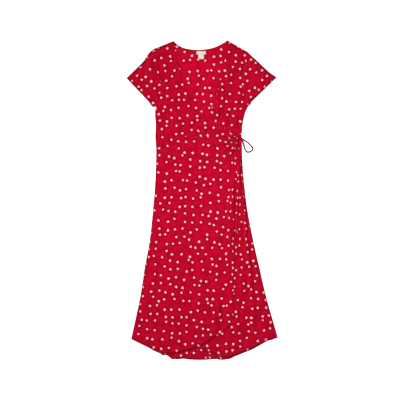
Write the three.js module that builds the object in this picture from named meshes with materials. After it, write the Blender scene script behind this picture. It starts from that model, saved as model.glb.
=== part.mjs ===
// A short-sleeved wrap dress laid flat on its back, front up.
// Millimetres, +Z up, neck towards +Y, origin on the surface under the middle of the dress.
// Left and right in the names are the wearer's, so the right front is at -X.

import * as THREE from 'three';

// Cloth and layers: the back lies on the surface, the under wrap on it, the upper wrap on both.
const cloth = { wall: 1.3, gap: 0.3 };
const layer = {
  back: 0,
  under: cloth.wall + cloth.gap,
  over: 2 * (cloth.wall + cloth.gap),
};

const bodice = { armholeSteps: 9, sideSteps: 6, neckSteps: 10, shoulderSteps: 3, frontSteps: 14 };
const skirt = { backAcross: 16, backDown: 14, overAcross: 20, overDown: 32, underAcross: 18, underDown: 28 };
const sleeve = { along: 7, across: bodice.armholeSteps, puff: 2.2, rimPoints: 3, seam: 0.36 };
const label = { x: -2.5, top: 651, width: 41, height: 14, thick: 1 };
const sizeTab = { x: -3, width: 25, height: 20, thick: 1 };
const tie = { diameter: 4.6, sides: 8, stepInDiameters: 2 };
const knot = { x: 173, y: 267, long: 17, wide: 13, high: 9, sides: 14, rings: 8, turn: 0.5, fullness: 0.8 };

// How finely the cut's edges are followed, for the distance of a point from them.
const edgeSteps = { perRow: 20, neck: 30, front: 40 };
// A fold fades out at its ends as a sine to this power.
const foldEnds = 0.8;

// Where the upper wrap has nothing but the back under it, it comes down by one layer.
const stepDown = { start: 24, end: 64 };
// The under wrap keeps flat beneath the upper one and swells only beyond its edge.
const clearOfEdge = { start: 2, end: 26 };

const crimson = { color: 0xbd1333, roughness: 0.78, metalness: 0 };
const materials = {
  cloth: new THREE.MeshStandardMaterial(crimson),
  label: new THREE.MeshStandardMaterial({ color: 0xf1e6da, roughness: 0.8, metalness: 0 }),
};

// Seams and edges of the cut, seen from above, each from the neck or the left downwards.
const neckPoint = { right: { x: -124, y: 696 }, left: { x: 112, y: 699 } };
const shoulderEnd = { right: { x: -203, y: 664 }, left: { x: 196, y: 651 } };
const underarm = { right: { x: -201, y: 411 }, left: { x: 206, y: 413 } };
const waistEnd = { right: { x: -204, y: 277 }, left: { x: 174, y: 275 } };
const hemEnd = { right: { x: -310, y: -609 }, left: { x: 333, y: -602 } };

const backNeck = [
  neckPoint.right,
  { x: -100, y: 676 },
  { x: -69, y: 663 },
  { x: -14, y: 657 },
  { x: 41, y: 664 },
  { x: 80, y: 679 },
  neckPoint.left,
];
const armhole = {
  right: [
    shoulderEnd.right,
    { x: -196, y: 613 },
    { x: -188, y: 560 },
    { x: -181, y: 507 },
    { x: -183, y: 459 },
    { x: -191, y: 429 },
    underarm.right,
  ],
  left: [
    shoulderEnd.left,
    { x: 190, y: 604 },
    { x: 181, y: 551 },
    { x: 176, y: 499 },
    { x: 181, y: 450 },
    { x: 191, y: 427 },
    underarm.left,
  ],
};
const bodiceSide = {
  right: [underarm.right, { x: -205, y: 376 }, { x: -202, y: 327 }, waistEnd.right],
  left: [underarm.left, { x: 193, y: 389 }, { x: 184, y: 358 }, { x: 178, y: 323 }, waistEnd.left],
};
const waistLine = [waistEnd.right, { x: -95, y: 279 }, { x: 14, y: 276 }, { x: 95, y: 277 }, waistEnd.left];
const skirtSide = {
  right: [
    waistEnd.right,
    { x: -200, y: 218 },
    { x: -201, y: 148 },
    { x: -205, y: 60 },
    { x: -214, y: -46 },
    { x: -229, y: -186 },
    { x: -249, y: -291 },
    { x: -271, y: -432 },
    hemEnd.right,
  ],
  left: [
    waistEnd.left,
    { x: 177, y: 183 },
    { x: 185, y: 77 },
    { x: 200, y: -46 },
    { x: 227, y: -186 },
    { x: 251, y: -291 },
    { x: 284, y: -432 },
    hemEnd.left,
  ],
};

// The upper wrap's neck edge runs over the bust to the tied side. The under wrap's mirrors it,
// and below the point of the V it is hidden.
const overNeck = [
  neckPoint.right,
  { x: -111, y: 626 },
  { x: -95, y: 560 },
  { x: -82, y: 512 },
  { x: -60, y: 466 },
  { x: -34, y: 422 },
  { x: -8, y: 389 },
  { x: 19, y: 365 },
  { x: 67, y: 334 },
  { x: 120, y: 304 },
  waistEnd.left,
];
const underWaist = { x: -161, y: 278 };
const underNeck = [
  neckPoint.left,
  { x: 102, y: 613 },
  { x: 87, y: 538 },
  { x: 74, y: 490 },
  { x: 62, y: 446 },
  { x: 45, y: 404 },
  { x: 19, y: 365 },
  { x: -25, y: 332 },
  { x: -82, y: 301 },
  underWaist,
];
const overCorner = { x: 47, y: -603 };
const overFront = [
  waistEnd.left,
  { x: 176, y: 209 },
  { x: 172, y: 139 },
  { x: 166, y: 68 },
  { x: 159, y: -24 },
  { x: 155, y: -133 },
  { x: 147, y: -208 },
  { x: 140, y: -331 },
  { x: 137, y: -432 },
  { x: 134, y: -505 },
  { x: 120, y: -546 },
  { x: 87, y: -578 },
  overCorner,
];
const underCorner = { x: -52, y: -616 };
const underFront = [
  underWaist,
  { x: -168, y: 174 },
  { x: -166, y: 68 },
  { x: -157, y: -68 },
  { x: -146, y: -208 },
  { x: -139, y: -331 },
  { x: -136, y: -432 },
  { x: -133, y: -502 },
  { x: -118, y: -548 },
  { x: -87, y: -585 },
  underCorner,
];
const hem = {
  back: [
    hemEnd.right,
    { x: -249, y: -638 },
    { x: -196, y: -660 },
    { x: -166, y: -679 },
    { x: -131, y: -699 },
    { x: -69, y: -696 },
    { x: -8, y: -699 },
    { x: 63, y: -695 },
    { x: 133, y: -693 },
    { x: 181, y: -679 },
    { x: 229, y: -660 },
    { x: 278, y: -632 },
    hemEnd.left,
  ],
  over: [
    hemEnd.right,
    { x: -249, y: -638 },
    { x: -198, y: -660 },
    { x: -166, y: -673 },
    { x: -131, y: -676 },
    { x: -82, y: -664 },
    { x: -21, y: -644 },
    { x: 5, y: -631 },
    overCorner,
  ],
  under: [
    underCorner,
    { x: -21, y: -640 },
    { x: 19, y: -662 },
    { x: 67, y: -678 },
    { x: 133, y: -688 },
    { x: 181, y: -675 },
    { x: 229, y: -657 },
    { x: 278, y: -629 },
    hemEnd.left,
  ],
};
const sleeveEdge = {
  right: {
    armhole: armhole.right,
    fold: [
      shoulderEnd.right,
      { x: -229, y: 645 },
      { x: -258, y: 604 },
      { x: -296, y: 565 },
      { x: -330, y: 532 },
    ],
    under: [underarm.right, { x: -216, y: 409 }, { x: -233, y: 429 }],
    cuff: [{ x: -330, y: 532 }, { x: -233, y: 429 }],
  },
  left: {
    armhole: armhole.left,
    fold: [
      shoulderEnd.left,
      { x: 238, y: 612 },
      { x: 273, y: 579 },
      { x: 300, y: 555 },
      { x: 328, y: 536 },
    ],
    under: [underarm.left, { x: 211, y: 416 }, { x: 219, y: 430 }],
    cuff: [{ x: 328, y: 536 }, { x: 219, y: 430 }],
  },
};

// Soft folds, each a ridge from one point to another that fades out at both ends.
const overFolds = [
  { x1: 158, y1: 262, x2: 86, y2: 196, high: 5, wide: 10 },
  { x1: 160, y1: 254, x2: 122, y2: 120, high: 4, wide: 9 },
  { x1: 150, y1: 268, x2: 40, y2: 238, high: 4, wide: 9 },
  { x1: 152, y1: 288, x2: 60, y2: 300, high: 4, wide: 8 },
  { x1: 138, y1: 252, x2: 70, y2: 120, high: 2.5, wide: 12 },
  { x1: 150, y1: 170, x2: 112, y2: -440, high: 3.5, wide: 15 },
  { x1: 96, y1: 90, x2: 60, y2: -560, high: 2.6, wide: 20 },
  { x1: 30, y1: -60, x2: -12, y2: -600, high: 1.8, wide: 26 },
  { x1: -120, y1: 180, x2: -170, y2: -560, high: 1.6, wide: 34 },
  { x1: -70, y1: 60, x2: -110, y2: -620, high: 1.4, wide: 26 },
  { x1: -188, y1: 288, x2: 150, y2: 289, high: 2.6, wide: 8 },
  { x1: -176, y1: 640, x2: -152, y2: 520, high: 2.6, wide: 12 },
  { x1: -150, y1: 480, x2: -96, y2: 330, high: 1.6, wide: 22 },
];
const underFolds = [
  { x1: 74, y1: 470, x2: 68, y2: 330, high: 3.2, wide: 9 },
  { x1: 128, y1: 600, x2: 112, y2: 420, high: 2.2, wide: 15 },
  { x1: 160, y1: 470, x2: 150, y2: 320, high: 2.2, wide: 14 },
  { x1: 196, y1: -120, x2: 236, y2: -560, high: 3, wide: 12 },
  { x1: 176, y1: -250, x2: 184, y2: -640, high: 2.4, wide: 13 },
  { x1: 258, y1: -400, x2: 290, y2: -590, high: 1.8, wide: 14 },
];

// The tie's loop and free end: the loop hangs off the tied side onto the surface,
// and the end wanders down the front edge of the upper wrap.
const loopRoute = [
  { x: 180.4, y: 263.2, z: 9.2 },
  { x: 187.4, y: 259.8, z: 8 },
  { x: 197, y: 254.4, z: 5.4 },
  { x: 207, y: 245.8, z: 3.4 },
  { x: 216, y: 236, z: 2.6 },
  { x: 222.6, y: 226.4, z: 2.5 },
  { x: 221.4, y: 217, z: 2.5 },
  { x: 213, y: 211, z: 2.5 },
  { x: 203.4, y: 208.6, z: 2.5 },
  { x: 195.6, y: 211.4, z: 2.5 },
  { x: 190.4, y: 219, z: 2.6 },
  { x: 187, y: 229.4, z: 3.6 },
  { x: 184, y: 240, z: 5.6 },
  { x: 180.6, y: 250, z: 8 },
  { x: 177.8, y: 258.8, z: 9.1 },
];
const endRoute = [
  { x: 169.4, y: 259.4, z: 8.9 },
  { x: 168.2, y: 250, z: 9 },
  { x: 171, y: 236, z: 8 },
  { x: 171.6, y: 218, z: 7.4 },
  { x: 170.6, y: 198, z: 7.4 },
  { x: 168.4, y: 176, z: 7.6 },
  { x: 166.6, y: 152, z: 7.8 },
  { x: 165, y: 130, z: 7.8 },
  { x: 163.6, y: 108, z: 7.6 },
  { x: 164.4, y: 88, z: 7.4 },
  { x: 168.6, y: 66, z: 7 },
  { x: 174.6, y: 44, z: 6.2 },
  { x: 180.2, y: 22, z: 5.8 },
  { x: 183.4, y: 0, z: 5.8 },
  { x: 184.6, y: -24, z: 5.8 },
  { x: 186.8, y: -48, z: 5.8 },
  { x: 190.6, y: -70, z: 5.8 },
];

function smooth(value, from, to) {
  const t = Math.min(1, Math.max(0, (value - from) / (to - from)));
  return t * t * (3 - 2 * t);
}

// Equal steps along a smooth curve through the rows of a table.
function along(rows, steps) {
  const curve = new THREE.SplineCurve(rows.map((row) => new THREE.Vector2(row.x, row.y)));
  curve.arcLengthDivisions = edgeSteps.perRow * rows.length;
  return curve.getSpacedPoints(steps);
}

function joined(...runs) {
  return runs.flatMap((run, index) => (index === 0 ? run : run.slice(1)));
}

function moved(points, x, y) {
  return points.map((point) => new THREE.Vector2(point.x + x, point.y + y));
}

// A grid of plan points between four edges that share their corners.
function between(top, bottom, left, right) {
  const across = top.length - 1;
  const down = left.length - 1;
  return left.map((leftPoint, j) => top.map((topPoint, i) => {
    const u = i / across;
    const v = j / down;
    const blend = (key) => {
      const mix = (from, to, t) => (1 - t) * from[key] + t * to[key];
      const upper = mix(top[0], top[across], u);
      const lower = mix(bottom[0], bottom[across], u);
      const corners = (1 - v) * upper + v * lower;
      return mix(topPoint, bottom[i], v) + mix(leftPoint, right[j], u) - corners;
    };
    return new THREE.Vector2(blend('x'), blend('y'));
  }));
}

function distanceToSegment(point, a, b) {
  const dx = b.x - a.x;
  const dy = b.y - a.y;
  const t = Math.min(1, Math.max(0, ((point.x - a.x) * dx + (point.y - a.y) * dy) / (dx * dx + dy * dy)));
  return { t, distance: Math.hypot(point.x - a.x - t * dx, point.y - a.y - t * dy) };
}

// How far a point lies from an edge that runs down the page: positive to its left.
function leftOf(point, edge) {
  const nearest = Math.min(...edge.slice(1).map((b, i) => distanceToSegment(point, edge[i], b).distance));
  const below = edge.findIndex((row) => row.y <= point.y);
  const b = edge[Math.max(1, below < 0 ? edge.length - 1 : below)];
  const a = edge[edge.indexOf(b) - 1];
  const x = a.x + (b.x - a.x) * (point.y - a.y) / (b.y - a.y);
  return point.x < x ? nearest : -nearest;
}

function foldHeight(point, folds) {
  return folds.reduce((sum, fold) => {
    const near = distanceToSegment(point, { x: fold.x1, y: fold.y1 }, { x: fold.x2, y: fold.y2 });
    const fade = Math.sin(Math.PI * near.t) ** foldEnds;
    return sum + fold.high * fade * Math.exp(-((near.distance / fold.wide) ** 2));
  }, 0);
}

// The height of the lower face of each front panel over a plan point.
const edgeOf = (neck, front) => joined(along(neck, edgeSteps.neck), along(front, edgeSteps.front));
const underEdge = edgeOf(underNeck, underFront);
const overEdge = edgeOf(overNeck, overFront);

function overHeight(point) {
  const down = smooth(leftOf(point, underEdge), stepDown.start, stepDown.end);
  return layer.over - down * (layer.over - layer.under) + foldHeight(point, overFolds);
}

function underHeight(point) {
  const outside = smooth(-leftOf(point, overEdge), clearOfEdge.start, clearOfEdge.end);
  return layer.under + outside * foldHeight(point, underFolds);
}

// A closed body between a lower and an upper grid of points.
function bodyBetween(lower, upper) {
  const down = lower.length - 1;
  const across = lower[0].length - 1;
  const positions = [...lower.flat(), ...upper.flat()].flatMap((point) => [point.x, point.y, point.z]);
  const width = across + 1;
  const upperStart = width * (down + 1);
  const faces = [];
  const quad = (a, b, c, d) => faces.push(a, b, c, a, c, d);
  const at = (j, i) => j * width + i;
  for (let j = 0; j < down; j += 1) {
    for (let i = 0; i < across; i += 1) {
      const corners = [at(j, i), at(j + 1, i), at(j + 1, i + 1), at(j, i + 1)];
      quad(...corners.map((index) => upperStart + index));
      quad(...corners.reverse());
    }
  }
  const rim = [
    ...Array.from({ length: across }, (_, i) => at(0, i)),
    ...Array.from({ length: down }, (_, j) => at(j, across)),
    ...Array.from({ length: across }, (_, i) => at(down, across - i)),
    ...Array.from({ length: down }, (_, j) => at(down - j, 0)),
  ];
  rim.forEach((index, k) => {
    const next = rim[(k + 1) % rim.length];
    quad(index, upperStart + index, upperStart + next, next);
  });
  const geometry = new THREE.BufferGeometry();
  geometry.setAttribute('position', new THREE.Float32BufferAttribute(positions, 3));
  geometry.setIndex(faces);
  return geometry;
}

function panel(plan, heightAt) {
  const lower = plan.map((row) => row.map((point) => new THREE.Vector3(point.x, point.y, heightAt(point))));
  const upper = lower.map((row) => row.map((point) => point.clone().setZ(point.z + cloth.wall)));
  return bodyBetween(lower, upper);
}

const flatOnSurface = () => layer.back;
const halfGap = cloth.gap / 2;
const bodiceWaist = (rows, steps) => moved(along(rows, steps), 0, halfGap);
const skirtWaist = (rows, steps) => moved(along(rows, steps), 0, -halfGap);

// Moves the last or first point of an edge onto the waist seam's side of the gap.
function endAt(points, corner) {
  return [...points.slice(0, -1), corner.clone()];
}

function startAt(points, corner) {
  return [corner.clone(), ...points.slice(1)];
}

function backBodice() {
  const sideRun = (side) => joined(
    along(armhole[side], bodice.armholeSteps),
    along(bodiceSide[side], bodice.sideSteps),
  );
  const top = joined(
    along([shoulderEnd.right, neckPoint.right], bodice.shoulderSteps),
    along(backNeck, bodice.neckSteps),
    along([neckPoint.left, shoulderEnd.left], bodice.shoulderSteps),
  );
  const bottom = bodiceWaist(waistLine, top.length - 1);
  const left = endAt(sideRun('right'), bottom[0]);
  const right = endAt(sideRun('left'), bottom.at(-1));
  return panel(between(top, bottom, left, right), flatOnSurface);
}

function backSkirt() {
  const top = skirtWaist(waistLine, skirt.backAcross);
  const bottom = along(hem.back, skirt.backAcross);
  const left = startAt(along(skirtSide.right, skirt.backDown), top[0]);
  const right = startAt(along(skirtSide.left, skirt.backDown), top.at(-1));
  return panel(between(top, bottom, left, right), flatOnSurface);
}

function rightFrontBodice() {
  const steps = bodice.frontSteps;
  const top = along([shoulderEnd.right, neckPoint.right], steps);
  const bottom = bodiceWaist(waistLine, steps);
  const left = endAt(joined(
    along(armhole.right, bodice.armholeSteps),
    along(bodiceSide.right, bodice.sideSteps),
  ), bottom[0]);
  const right = endAt(along(overNeck, left.length - 1), bottom.at(-1));
  return panel(between(top, bottom, left, right), overHeight);
}

function leftFrontBodice() {
  const steps = bodice.frontSteps;
  const top = along([neckPoint.left, shoulderEnd.left], steps);
  const bottom = bodiceWaist([underWaist, ...waistLine.slice(1)], steps);
  const right = endAt(joined(
    along(armhole.left, bodice.armholeSteps),
    along(bodiceSide.left, bodice.sideSteps),
  ), bottom.at(-1));
  const left = endAt(along(underNeck, right.length - 1), bottom[0]);
  return panel(between(top, bottom, left, right), underHeight);
}

function rightFrontSkirt() {
  const top = skirtWaist(waistLine, skirt.overAcross);
  const bottom = along(hem.over, skirt.overAcross);
  const left = startAt(along(skirtSide.right, skirt.overDown), top[0]);
  const right = startAt(along(overFront, skirt.overDown), top.at(-1));
  return panel(between(top, bottom, left, right), overHeight);
}

function leftFrontSkirt() {
  const top = skirtWaist([underWaist, ...waistLine.slice(1)], skirt.underAcross);
  const bottom = along(hem.under, skirt.underAcross);
  const left = startAt(along(underFront, skirt.underDown), top[0]);
  const right = startAt(along(skirtSide.left, skirt.underDown), top.at(-1));
  return panel(between(top, bottom, left, right), underHeight);
}

// A sleeve is a tube pressed flat: a ring of outer points and a ring of inner points at each station
// from the armhole to the cuff, joined at both ends, with a hollow between its two layers.
function flatTube(edge, side) {
  const outward = side === 'right' ? -1 : 1;
  const armholeRun = moved(along(edge.armhole, sleeve.across), outward * sleeve.seam, 0);
  const cuffRun = along(edge.cuff, sleeve.across);
  const foldRun = startAt(along(edge.fold, sleeve.along), armholeRun[0]);
  const underRun = startAt(along(edge.under, sleeve.along), armholeRun.at(-1));
  const plan = between(foldRun, underRun, armholeRun, cuffRun);
  const height = layer.under + cloth.wall;
  const radius = height / 2;
  const rings = foldRun.map((_, station) => {
    const line = plan.map((row) => row[station]);
    const puffAt = (k) => sleeve.puff * Math.sin(Math.PI * k / sleeve.across)
      * Math.sin(Math.PI * (station + 1) / (sleeve.along + 2));
    const layerAt = (lift, puffed) => line.map((point, k) => (
      new THREE.Vector3(point.x, point.y, lift + (puffed ? puffAt(k) : 0))));
    const rimAt = (end, from) => {
      const away = end.clone().sub(from).normalize();
      return Array.from({ length: sleeve.rimPoints }, (_unused, k) => {
        const angle = Math.PI * (k + 1) / (sleeve.rimPoints + 1);
        const reach = radius * Math.sin(angle);
        return new THREE.Vector3(
          end.x + away.x * reach,
          end.y + away.y * reach,
          radius * (1 - Math.cos(angle)),
        );
      });
    };
    const outer = [
      ...layerAt(0, false),
      ...rimAt(line.at(-1), line.at(-2)),
      ...layerAt(height, true).reverse(),
      ...rimAt(line[0], line[1]).reverse(),
    ];
    const inner = [
      ...layerAt(cloth.wall, false),
      ...layerAt(layer.under, true).reverse(),
    ];
    return { outer, inner };
  });
  return tubeBody(rings, outward);
}

function tubeBody(rings, outward) {
  const outerCount = rings[0].outer.length;
  const innerCount = rings[0].inner.length;
  const positions = [];
  rings.forEach((ring) => [...ring.outer, ...ring.inner].forEach((p) => positions.push(p.x, p.y, p.z)));
  const faces = [];
  const triangle = (a, b, c) => faces.push(...(outward > 0 ? [a, b, c] : [a, c, b]));
  const outerAt = (station, k) => station * (outerCount + innerCount) + (k % outerCount);
  const innerAt = (station, k) => station * (outerCount + innerCount) + outerCount + (k % innerCount);
  for (let station = 0; station < rings.length - 1; station += 1) {
    for (let k = 0; k < outerCount; k += 1) {
      const [a, b] = [outerAt(station, k), outerAt(station, k + 1)];
      const [c, d] = [outerAt(station + 1, k + 1), outerAt(station + 1, k)];
      triangle(a, c, b);
      triangle(a, d, c);
    }
    for (let k = 0; k < innerCount; k += 1) {
      const [a, b] = [innerAt(station, k), innerAt(station, k + 1)];
      const [c, d] = [innerAt(station + 1, k + 1), innerAt(station + 1, k)];
      triangle(a, b, c);
      triangle(a, c, d);
    }
  }
  // The cloth's cut ends at the armhole and the cuff, between the outer and the inner ring.
  const layerCount = innerCount / 2;
  const closeEnd = (station, flip) => {
    const face = (a, b, c) => (flip ? triangle(a, c, b) : triangle(a, b, c));
    const outer = (k) => outerAt(station, k);
    const inner = (k) => innerAt(station, k);
    const upperStart = layerCount + sleeve.rimPoints;
    for (let k = 0; k < layerCount - 1; k += 1) {
      face(outer(k), outer(k + 1), inner(k + 1));
      face(outer(k), inner(k + 1), inner(k));
      face(outer(upperStart + k), outer(upperStart + k + 1), inner(layerCount + k + 1));
      face(outer(upperStart + k), inner(layerCount + k + 1), inner(layerCount + k));
    }
    const rim = (outerStart, innerStart) => {
      const middle = Math.floor(sleeve.rimPoints / 2) + 1;
      for (let k = 0; k <= sleeve.rimPoints; k += 1) {
        const hub = k < middle ? innerStart : innerStart + 1;
        face(outer(outerStart + k), outer(outerStart + k + 1), inner(hub));
        if (k === middle - 1) {
          face(outer(outerStart + k + 1), inner(innerStart + 1), inner(innerStart));
        }
      }
    };
    rim(layerCount - 1, layerCount - 1);
    rim(upperStart + layerCount - 1, innerCount - 1);
  };
  closeEnd(0, false);
  closeEnd(rings.length - 1, true);
  const geometry = new THREE.BufferGeometry();
  geometry.setAttribute('position', new THREE.Float32BufferAttribute(positions, 3));
  geometry.setIndex(faces);
  return geometry;
}

function tape(sizes) {
  return new THREE.BoxGeometry(sizes.width, sizes.height, sizes.thick);
}

function cord(route) {
  const section = new THREE.Shape();
  const radius = tie.diameter / 2;
  for (let k = 0; k < tie.sides; k += 1) {
    const angle = 2 * Math.PI * k / tie.sides;
    const [x, y] = [radius * Math.cos(angle), radius * Math.sin(angle)];
    if (k === 0) section.moveTo(x, y);
    else section.lineTo(x, y);
  }
  section.closePath();
  const path = new THREE.CatmullRomCurve3(route.map((row) => new THREE.Vector3(row.x, row.y, row.z)));
  const steps = Math.round(path.getLength() / (tie.stepInDiameters * tie.diameter));
  return new THREE.ExtrudeGeometry(section, { steps, extrudePath: path, bevelEnabled: false });
}

// The knot is a small barrel of wound cord that lies on its side.
function knotBody() {
  const profile = Array.from({ length: knot.rings + 1 }, (_, k) => {
    const angle = Math.PI * k / knot.rings;
    const width = k === 0 || k === knot.rings ? 0 : Math.sin(angle) ** knot.fullness;
    return new THREE.Vector2(width, -Math.cos(angle));
  });
  const geometry = new THREE.LatheGeometry(profile, knot.sides);
  geometry.scale(knot.wide / 2, knot.long / 2, knot.high / 2);
  return geometry;
}

const dress = new THREE.Group();

function add(name, geometry, material, place = { x: 0, y: 0, z: 0 }, turn = 0) {
  const mesh = new THREE.Mesh(geometry, material);
  mesh.name = name;
  mesh.position.set(place.x, place.y, place.z);
  mesh.rotation.z = turn;
  dress.add(mesh);
}

add('back_bodice', backBodice(), materials.cloth);
add('back_skirt', backSkirt(), materials.cloth);
add('left_front_bodice', leftFrontBodice(), materials.cloth);
add('left_front_skirt', leftFrontSkirt(), materials.cloth);
add('right_front_bodice', rightFrontBodice(), materials.cloth);
add('right_front_skirt', rightFrontSkirt(), materials.cloth);
add('right_sleeve', flatTube(sleeveEdge.right, 'right'), materials.cloth);
add('left_sleeve', flatTube(sleeveEdge.left, 'left'), materials.cloth);
add('neck_label', tape(label), materials.label, {
  x: label.x,
  y: label.top - label.height / 2,
  z: layer.under + label.thick / 2,
});
add('size_tab', tape(sizeTab), materials.label, {
  x: sizeTab.x,
  y: label.top - label.height - cloth.gap - sizeTab.height / 2,
  z: layer.under + sizeTab.thick / 2,
});
const onUpperWrap = layer.over + cloth.wall + cloth.gap;
const knotPlace = { x: knot.x, y: knot.y, z: onUpperWrap + knot.high / 2 };
add('tie_knot', knotBody(), materials.cloth, knotPlace, knot.turn);
add('tie_loop', cord(loopRoute), materials.cloth);
add('tie_end', cord(endRoute), materials.cloth);

export default dress;
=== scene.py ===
import math

import bpy
import numpy as np
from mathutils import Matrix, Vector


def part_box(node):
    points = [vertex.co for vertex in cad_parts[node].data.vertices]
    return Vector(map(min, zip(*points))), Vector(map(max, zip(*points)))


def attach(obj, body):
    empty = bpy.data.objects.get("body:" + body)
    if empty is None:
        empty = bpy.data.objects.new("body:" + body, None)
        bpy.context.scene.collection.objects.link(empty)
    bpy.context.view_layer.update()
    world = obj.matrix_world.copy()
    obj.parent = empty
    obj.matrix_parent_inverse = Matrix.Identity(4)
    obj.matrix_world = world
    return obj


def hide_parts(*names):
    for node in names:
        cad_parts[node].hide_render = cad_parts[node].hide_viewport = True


# A short-sleeved wrap dress in printed crepe, laid flat on its back and seen from straight above.
# Tables are in millimetres; what Blender gets is in metres. Left and right are the wearer's.
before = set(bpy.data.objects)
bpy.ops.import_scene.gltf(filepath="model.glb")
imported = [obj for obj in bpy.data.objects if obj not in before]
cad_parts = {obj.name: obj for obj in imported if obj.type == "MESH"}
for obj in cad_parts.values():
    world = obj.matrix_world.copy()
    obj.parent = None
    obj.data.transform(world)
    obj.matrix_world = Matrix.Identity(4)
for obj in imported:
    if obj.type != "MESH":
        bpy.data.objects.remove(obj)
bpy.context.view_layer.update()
mm = 0.001
scene = bpy.context.scene
print("frame loaded,", len(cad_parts), "nodes")


def linked(name, data):
    made = bpy.data.objects.new(name, data)
    scene.collection.objects.link(made)
    return made


# Camera
cameraView = {"lens": 100, "sensor": 36, "frameWidth": 1756, "x": -7.7, "y": -1.8}


def makeCamera(view):
    data = bpy.data.cameras.new("camera")
    data.lens = view["lens"]
    data.sensor_width = view["sensor"]
    scene.camera = linked("camera", data)
    height = view["frameWidth"] * view["lens"] / view["sensor"]
    scene.camera.location = (view["x"] * mm, view["y"] * mm, height * mm)


makeCamera(cameraView)
print("camera placed")


# Shader building
class Wire:  # a value on its way through a material; sums on it add Math nodes
    def __init__(self, finish, made, out=0):
        self.finish = finish
        self.made = made
        self.socket = made.outputs[out] if made.outputs else None

    def __getitem__(self, out):
        return Wire(self.finish, self.made, out)

    def __add__(self, other):
        return self.finish.math("ADD", self, other)

    def __radd__(self, other):
        return self.finish.math("ADD", other, self)

    def __sub__(self, other):
        return self.finish.math("SUBTRACT", self, other)

    def __mul__(self, other):
        return self.finish.math("MULTIPLY", self, other)

    def __rmul__(self, other):
        return self.finish.math("MULTIPLY", other, self)

    def __pow__(self, other):
        return self.finish.math("POWER", self, other)

    def __abs__(self):
        return self.finish.math("ABSOLUTE", self)


class Finish:  # one material and the nodes in it
    def __init__(self, name):
        self.material = bpy.data.materials.new(name)
        self.material.use_nodes = True
        self.tree = self.material.node_tree
        self.tree.nodes.clear()

    def node(self, kind, settings=None, sockets=None, out=0):
        made = self.tree.nodes.new(kind)
        for key, value in (settings or {}).items():
            setattr(made, key, value)
        for key, value in (sockets or {}).items():
            if isinstance(value, Wire):
                self.tree.links.new(value.socket, made.inputs[key])
            else:
                made.inputs[key].default_value = value
        return Wire(self, made, out)

    def math(self, operation, *values):
        return self.node("ShaderNodeMath", {"operation": operation}, dict(enumerate(values)))

    def vector(self, operation, sockets, out=0):
        return self.node("ShaderNodeVectorMath", {"operation": operation}, sockets, out)

    def mix(self, factor, first, second):
        return self.node("ShaderNodeMix", {"data_type": "RGBA"}, {0: factor, 6: first, 7: second}, 2)

    def noise(self, place, scale, detail=2):
        return self.node("ShaderNodeTexNoise", None, {"Vector": place, "Scale": scale, "Detail": detail})

    def ranged(self, value, low, high, most=1.0, curve="LINEAR"):
        # 0 to most while the value goes from low to high
        sockets = {"Value": value, "From Min": low, "From Max": high, "To Max": most}
        return self.node("ShaderNodeMapRange", {"interpolation_type": curve}, sockets)

    def surface(self, sockets):
        shader = self.node("ShaderNodeBsdfPrincipled", None, sockets)
        self.node("ShaderNodeOutputMaterial", None, {"Surface": shader})
        return self.material


# Cloth: crimson crepe with small tossed hearts
clothMap = "clothPlan"
paintedShadeMap = "paintedShade"  # painted shade, 0 to 1: full along edges where the cloth rolls away from the light, in creases and on the tie, 0 away from them
crepe = {
    "outside": {"red": (0.4645, 0.0003, 0.018, 1), "deep": (0.223, 0.0001, 0.01, 1), "printed": 1.0},
    "inside": {"red": (0.524, 0.0003, 0.02, 1), "deep": (0.279, 0.0002, 0.012, 1), "printed": 1.0},
    # The tie's reds are darker than the dress's, and few of its cells carry a heart: painted shade for a
    # narrow tube whose sides turn away from the light.
    "tie": {"red": (0.42, 0.0003, 0.017, 1), "deep": (0.24, 0.0001, 0.01, 1), "printed": 0.1},
    # The next two colours are painted shade: the dark red mixed in along edges and in creases, and the
    # darker one on the tie; the share after them is how much is mixed in at full shade.
    "edge": (0.13, 0.0001, 0.006, 1),
    "tieEdge": (0.065, 0.0003, 0.006, 1),
    "edgeShare": 0.8,
    "motif": (0.97, 0.42, 0.49, 1),
    "pitch": 34.8,
    "scatter": 0.64,
    "heart": 4.95,
    "mottle": 6.5,
    "mottleRange": (0.38, 0.62),
    "mottleShare": 0.42,
    "cloud": 25,
    "cloudRange": (0.4, 0.62),
    "cloudShare": 0.45,
    "ringShare": 0.5,
    "ringFull": 2.3,
    "ringEnd": 3.3,
    "crinkle": 12,
    "grain": 0.9,
    "relief": 2.0,
    "roughness": 0.85,
    "sheen": 0.03,
}
heartCut = {
    "high": 1.18, "middle": 0.16, "dip": 0.64, "outside": 1.12, "inside": 0.86, "size": 0.78, "uneven": 0.48,
}


def heartShape(finish, place, cells, printed):
    # 1 inside a heart at the middle of a cell, turned at random, and 1 in the ring of deeper dye round it;
    # printed is the share of cells with one
    offset = finish.vector("SUBTRACT", {0: place, 1: cells["Position"]})
    sized = finish.vector("SCALE", {0: offset, "Scale": crepe["pitch"] / crepe["heart"]})
    chance = finish.node("ShaderNodeSeparateColor", None, {0: cells["Color"]})
    turned = finish.node(
        "ShaderNodeVectorRotate",
        {"rotation_type": "Z_AXIS"},
        {"Vector": sized, "Angle": chance[0] * (2 * math.pi)},
    )
    parts = finish.node("ShaderNodeSeparateXYZ", None, {0: turned})
    across, up = parts[0], parts[1]
    size = heartCut["size"] + heartCut["uneven"] * chance[1]
    lobes = heartCut["high"] * up + heartCut["middle"] - heartCut["dip"] * abs(across) ** 0.5
    edge = across ** 2 + lobes ** 2
    heart = finish.ranged(edge * size, heartCut["outside"], heartCut["inside"], curve="SMOOTHSTEP")
    away = finish.vector("LENGTH", {0: sized}, "Value")
    ring = finish.ranged(away, crepe["ringEnd"], crepe["ringFull"], curve="SMOOTHSTEP")
    kept = finish.math("LESS_THAN", chance[2], printed)
    return heart * kept, ring * kept


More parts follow.
